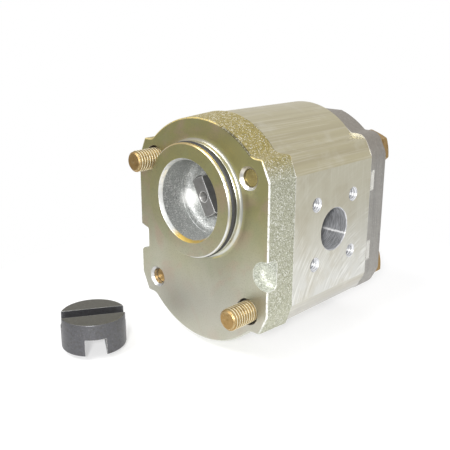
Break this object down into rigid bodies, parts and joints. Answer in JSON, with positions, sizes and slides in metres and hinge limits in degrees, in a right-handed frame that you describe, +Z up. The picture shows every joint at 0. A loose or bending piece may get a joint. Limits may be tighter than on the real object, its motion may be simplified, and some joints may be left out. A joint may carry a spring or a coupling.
{
  "type": "hydraulic gear pump",
  "caption": "External gear pump with a piloted direct-mount flange, tang-driven shaft, bolted side ports and a loose slotted drive coupling.",
  "frame": {"origin": "on the drive shaft's axis, in the plane of the mounting flange's face", "axes": "+Y along the drive shaft into the pump, +Z up through both gear axes' plane, +X towards the suction port"},
  "size_m": [0.0902, 0.1478, 0.1072],
  "materials": {
    "chromated_casting": "zinc plated and yellow chromated, machined faces and rough cast edges",
    "extruded_aluminium": "bare, drawn top and fly-cut port faces",
    "cast_aluminium": "matt, as cast and blasted",
    "bearing_aluminium": "fine turned",
    "hardened_steel": "ground and oiled",
    "bright_steel": "ground",
    "yellow_zinc": "yellow zinc plated, rolled threads",
    "bush_lining": "bronze and polymer lining on steel",
    "sintered_steel": "dark steam-treated sintered steel",
    "nitrile": "matt black",
    "backup_polymer": "natural white"
  },
  "bodies": {
    "pump": {"front_cover": "chromated_casting", "pump_body": "extruded_aluminium", "rear_cover": "cast_aluminium", "front_bearing_block": "bearing_aluminium", "rear_bearing_block": "bearing_aluminium", "front_zone_seal": "nitrile", "rear_zone_seal": "nitrile", "front_backup_strip": "backup_polymer", "rear_backup_strip": "backup_polymer", "front_drive_bush": "bush_lining", "front_driven_bush": "bush_lining", "rear_drive_bush": "bush_lining", "rear_driven_bush": "bush_lining", "front_casing_seal": "nitrile", "rear_casing_seal": "nitrile", "shaft_seal_case": "bright_steel", "shaft_seal_lip": "nitrile", "shaft_seal_spring": "bright_steel", "pilot_o_ring": "nitrile", "front_pin_left": "bright_steel", "front_pin_right": "bright_steel", "rear_pin_left": "bright_steel", "rear_pin_right": "bright_steel", "mounting_bolt_top_left": "yellow_zinc", "clamp_bolt_top_right": "yellow_zinc", "clamp_bolt_bottom_left": "yellow_zinc", "mounting_bolt_bottom_right": "yellow_zinc"},
    "drive_gear": {"drive_gear_shaft": "hardened_steel"},
    "driven_gear": {"driven_gear_shaft": "hardened_steel"},
    "coupling": {"drive_coupling": "sintered_steel"}
  },
  "joints": [
    {"name": "drive_spin", "type": "hinge", "parent": "pump", "child": "drive_gear", "pos_m": [0, 0.0475, 0], "axis": [0, 1, 0], "continuous": true},
    {"name": "driven_spin", "type": "hinge", "parent": "pump", "child": "driven_gear", "pos_m": [0, 0.0475, -0.032], "axis": [0, 1, 0], "continuous": true},
    {"name": "coupling_lift", "type": "slide", "parent": "pump", "child": "coupling", "axis": [0, 0, 1], "range_m": [0, 0.06]}
  ],
  "couplings": [
    {"joint": "driven_spin", "follows": "drive_spin", "ratio": -1}
  ]
}
